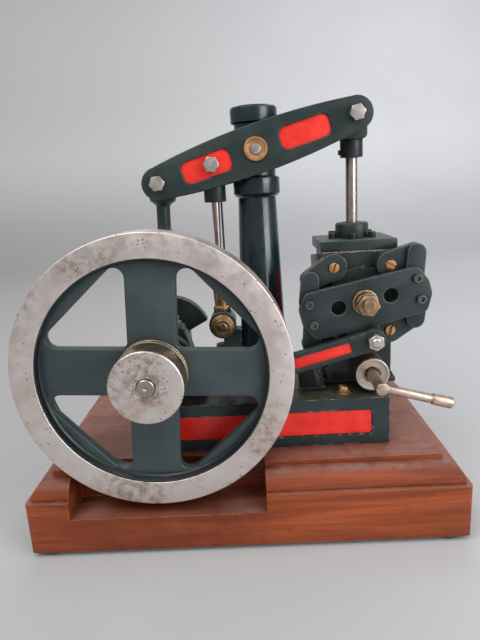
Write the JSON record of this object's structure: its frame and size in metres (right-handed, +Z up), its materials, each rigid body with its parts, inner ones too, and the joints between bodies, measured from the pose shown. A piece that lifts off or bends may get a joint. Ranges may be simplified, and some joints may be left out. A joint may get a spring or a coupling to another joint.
{
  "type": "model steam engine",
  "caption": "Model beam engine on a moulded wooden plinth, with rocking beam, piston and pump rods, flywheel, crank, valve wrist plate and stop valve.",
  "frame": {"origin": "middle of the footprint, on the surface that the rubber feet stand on", "axes": "+X to the right along the beam, towards the cylinder; +Y to the back, along every shaft; +Z up"},
  "size_m": [0.25, 0.1702, 0.2467],
  "materials": {
    "wood": "dull varnish",
    "green_paint": "semi-gloss dark green",
    "steel": "turned, lightly rusted",
    "brass": "tarnished",
    "rubber": "matt"
  },
  "bodies": {
    "frame": {"plinth_lower_board": "wood", "plinth_upper_board": "wood", "foot_front_left": "rubber", "foot_front_right": "rubber", "foot_rear_left": "rubber", "foot_rear_right": "rubber", "bed_casting": "green_paint", "column_shaft": "green_paint", "column_head": "green_paint", "beam_pivot_pin": "steel", "bearing_pedestal_front": "green_paint", "bearing_pedestal_rear": "green_paint", "bearing_cap_front": "green_paint", "bearing_cap_rear": "green_paint", "cylinder_block": "green_paint", "cylinder_top_cover": "green_paint", "cylinder_sole_plate": "green_paint", "piston_gland": "green_paint", "wrist_stud": "brass", "stop_valve_body": "steel", "pump_barrel": "brass", "pump_body": "green_paint", "pump_valve_cap": "brass"},
    "crankshaft": {"crankshaft": "steel", "flywheel": "steel", "belt_pulley": "steel", "crank_web_front": "green_paint", "crank_web_rear": "green_paint"},
    "beam": {"beam_front_plate": "green_paint", "beam_rear_plate": "green_paint", "beam_pin_left": "steel", "beam_pin_middle": "steel", "beam_pin_right": "steel", "beam_bush_front": "brass", "beam_bush_rear": "brass"},
    "connecting_rod": {"connecting_rod": "green_paint", "crank_pin": "steel"},
    "pump_rod": {"pump_rod_socket": "green_paint", "pump_rod": "steel"},
    "piston_rod": {"piston": "brass", "piston_rod": "steel", "rod_end": "green_paint"},
    "wrist_plate": {"wrist_plate": "green_paint", "drive_pin": "steel"},
    "eccentric_rod": {"eccentric_rod": "green_paint", "eccentric_strap": "green_paint", "eccentric_sheave": "steel"},
    "stop_valve_lever": {"stop_valve_lever": "brass"},
    "valve_upper_left": {"valve_arm_upper_left": "green_paint", "valve_spindle_upper_left": "brass"},
    "link_upper_left": {"link_upper_left": "green_paint"},
    "valve_upper_right": {"valve_arm_upper_right": "green_paint", "valve_spindle_upper_right": "brass"},
    "link_upper_right": {"link_upper_right": "green_paint"},
    "valve_lower_left": {"valve_arm_lower_left": "green_paint", "valve_spindle_lower_left": "brass"},
    "link_lower_left": {"link_lower_left": "green_paint"},
    "valve_lower_right": {"valve_arm_lower_right": "green_paint", "valve_spindle_lower_right": "brass"},
    "link_lower_right": {"link_lower_right": "green_paint"}
  },
  "joints": [
    {"name": "crank_spin", "type": "hinge", "parent": "frame", "child": "crankshaft", "pos_m": [-0.047, 0.0041, 0.1055], "axis": [0, 1, 0], "continuous": true},
    {"name": "beam_rock", "type": "hinge", "parent": "frame", "child": "beam", "pos_m": [0.0148, 0.0041, 0.221], "axis": [0, 1, 0], "range_deg": [0, 31.4]},
    {"name": "connecting_rod_swing", "type": "hinge", "parent": "beam", "child": "connecting_rod", "pos_m": [-0.04296, 0.0041, 0.20476], "axis": [0, 1, 0], "range_deg": [-31.4, 0]},
    {"name": "piston_slide", "type": "slide", "parent": "frame", "child": "piston_rod", "axis": [0, 0, 1], "range_m": [-0.033, 0]},
    {"name": "pump_slide", "type": "slide", "parent": "frame", "child": "pump_rod", "axis": [0, 0, 1], "range_m": [0, 0.0147]},
    {"name": "wrist_rock", "type": "hinge", "parent": "frame", "child": "wrist_plate", "pos_m": [0.0728, -0.0329, 0.1329], "axis": [0, 1, 0], "range_deg": [0, 22.6]},
    {"name": "eccentric_rod_swing", "type": "hinge", "parent": "wrist_plate", "child": "eccentric_rod", "pos_m": [0.07711, -0.0389, 0.11133], "axis": [0, 1, 0], "range_deg": [-22.6, 0]},
    {"name": "stop_valve", "type": "hinge", "parent": "frame", "child": "stop_valve_lever", "pos_m": [0.077, -0.0409, 0.0893], "axis": [0, -1, 0], "range_deg": [0, 90]},
    {"name": "valve_turn_upper_left", "type": "hinge", "parent": "frame", "child": "valve_upper_left", "pos_m": [0.0565, -0.0209, 0.1523], "axis": [0, 1, 0], "range_deg": [0, 46.5]},
    {"name": "link_swing_upper_left", "type": "hinge", "parent": "wrist_plate", "child": "link_upper_left", "pos_m": [0.04089, -0.0299, 0.13285], "axis": [0, 1, 0], "range_deg": [-35.2, 0]},
    {"name": "valve_turn_upper_right", "type": "hinge", "parent": "frame", "child": "valve_upper_right", "pos_m": [0.0891, -0.0209, 0.1523], "axis": [0, 1, 0], "range_deg": [0, 46.5]},
    {"name": "link_swing_upper_right", "type": "hinge", "parent": "wrist_plate", "child": "link_upper_right", "pos_m": [0.10228, -0.0299, 0.14511], "axis": [0, 1, 0], "range_deg": [-31.2, 0]},
    {"name": "valve_turn_lower_left", "type": "hinge", "parent": "frame", "child": "valve_lower_left", "pos_m": [0.0565, -0.0209, 0.1135], "axis": [0, 1, 0], "range_deg": [0, 46.5]},
    {"name": "link_swing_lower_left", "type": "hinge", "parent": "wrist_plate", "child": "link_lower_left", "pos_m": [0.04332, -0.0299, 0.12069], "axis": [0, 1, 0], "range_deg": [-31.2, 0]},
    {"name": "valve_turn_lower_right", "type": "hinge", "parent": "frame", "child": "valve_lower_right", "pos_m": [0.0891, -0.0209, 0.1135], "axis": [0, 1, 0], "range_deg": [0, 46.5]},
    {"name": "link_swing_lower_right", "type": "hinge", "parent": "wrist_plate", "child": "link_lower_right", "pos_m": [0.10471, -0.0299, 0.13295], "axis": [0, 1, 0], "range_deg": [-35.2, 0]}
  ],
  "couplings": [
    {"joint": "connecting_rod_swing", "follows": "beam_rock", "ratio": -1},
    {"joint": "piston_slide", "follows": "beam_rock", "m_per_rad": -0.059252},
    {"joint": "pump_slide", "follows": "beam_rock", "m_per_rad": 0.026466},
    {"joint": "eccentric_rod_swing", "follows": "wrist_rock", "ratio": -1},
    {"joint": "valve_turn_upper_left", "follows": "wrist_rock", "ratio": 2.052},
    {"joint": "link_swing_upper_left", "follows": "wrist_rock", "ratio": -1.553},
    {"joint": "valve_turn_upper_right", "follows": "wrist_rock", "ratio": 2.052},
    {"joint": "link_swing_upper_right", "follows": "wrist_rock", "ratio": -1.3747},
    {"joint": "valve_turn_lower_left", "follows": "wrist_rock", "ratio": 2.052},
    {"joint": "link_swing_lower_left", "follows": "wrist_rock", "ratio": -1.3747},
    {"joint": "valve_turn_lower_right", "follows": "wrist_rock", "ratio": 2.052},
    {"joint": "link_swing_lower_right", "follows": "wrist_rock", "ratio": -1.553}
  ]
}
